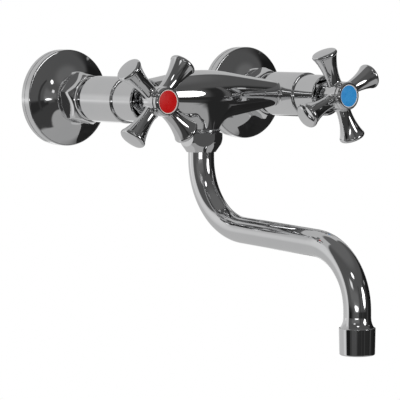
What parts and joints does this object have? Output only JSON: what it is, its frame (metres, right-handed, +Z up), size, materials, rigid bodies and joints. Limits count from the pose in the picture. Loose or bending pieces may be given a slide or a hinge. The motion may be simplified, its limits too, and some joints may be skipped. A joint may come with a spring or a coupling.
{
  "type": "kitchen mixer tap",
  "caption": "Wall-mounted kitchen mixer tap with cross handles, round wall flanges and a swivelling S-shaped spout with an aerator.",
  "frame": {"origin": "on the wall plane, midway between the two inlets, at the height of the valve axes", "axes": "+Y into the wall, along the inlets; -Y towards the user; +X towards the cold side; +Z up"},
  "size_m": [0.2125, 0.2279, 0.1852],
  "materials": {
    "chrome": "polished chrome plate",
    "brass": "turned brass",
    "steel": "plain stainless steel",
    "rubber": "matt black rubber",
    "fibre": "pressed sealing fibre",
    "white_plastic": "moulded acetal",
    "red_disc": "glossy red",
    "blue_disc": "glossy blue"
  },
  "bodies": {
    "root": {"mixer_body": "chrome", "spout_nut": "chrome", "spout_thrust_washer": "white_plastic", "hot_wall_flange": "chrome", "hot_wall_connector": "brass", "hot_union_nut": "chrome", "hot_union_seal": "fibre", "hot_inlet_tail": "chrome", "hot_bonnet": "brass", "hot_bonnet_seal": "fibre", "hot_gland_packing": "rubber", "hot_gland_nut": "chrome", "hot_shroud": "chrome", "cold_wall_flange": "chrome", "cold_wall_connector": "brass", "cold_union_nut": "chrome", "cold_union_seal": "fibre", "cold_inlet_tail": "chrome", "cold_bonnet": "brass", "cold_bonnet_seal": "fibre", "cold_gland_packing": "rubber", "cold_gland_nut": "chrome", "cold_shroud": "chrome"},
    "spout": {"spout_tube": "chrome", "spout_bush": "brass", "spout_o_rings": "rubber", "spout_retaining_ring": "brass", "aerator_housing": "chrome", "aerator_seal": "rubber", "aerator_insert": "white_plastic", "aerator_screen": "steel"},
    "hot_jumper": {"hot_jumper": "brass", "hot_seat_washer": "rubber", "hot_jumper_nut": "brass"},
    "hot_handle": {"hot_spindle": "brass", "hot_cross_handle": "chrome", "hot_handle_screw": "steel", "hot_index_cap": "chrome", "hot_index_disc": "red_disc"},
    "cold_jumper": {"cold_jumper": "brass", "cold_seat_washer": "rubber", "cold_jumper_nut": "brass"},
    "cold_handle": {"cold_spindle": "brass", "cold_cross_handle": "chrome", "cold_handle_screw": "steel", "cold_index_cap": "chrome", "cold_index_disc": "blue_disc"}
  },
  "joints": [
    {"name": "spout_swivel", "type": "hinge", "parent": "root", "child": "spout", "pos_m": [0, -0.0515, -0.03], "axis": [0, 0, 1], "range_deg": [-100, 100]},
    {"name": "hot_lift", "type": "slide", "parent": "root", "child": "hot_jumper", "axis": [0, -1, 0], "range_m": [0, 0.0045]},
    {"name": "hot_turn", "type": "hinge", "parent": "hot_jumper", "child": "hot_handle", "pos_m": [-0.075, -0.09, 0], "axis": [0, -1, 0], "range_deg": [0, 900]},
    {"name": "cold_lift", "type": "slide", "parent": "root", "child": "cold_jumper", "axis": [0, -1, 0], "range_m": [0, 0.0045]},
    {"name": "cold_turn", "type": "hinge", "parent": "cold_jumper", "child": "cold_handle", "pos_m": [0.075, -0.09, 0], "axis": [0, -1, 0], "range_deg": [0, 900]}
  ],
  "couplings": [
    {"joint": "hot_lift", "follows": "hot_turn", "m_per_rad": 0.0002864},
    {"joint": "cold_lift", "follows": "cold_turn", "m_per_rad": 0.0002864}
  ]
}
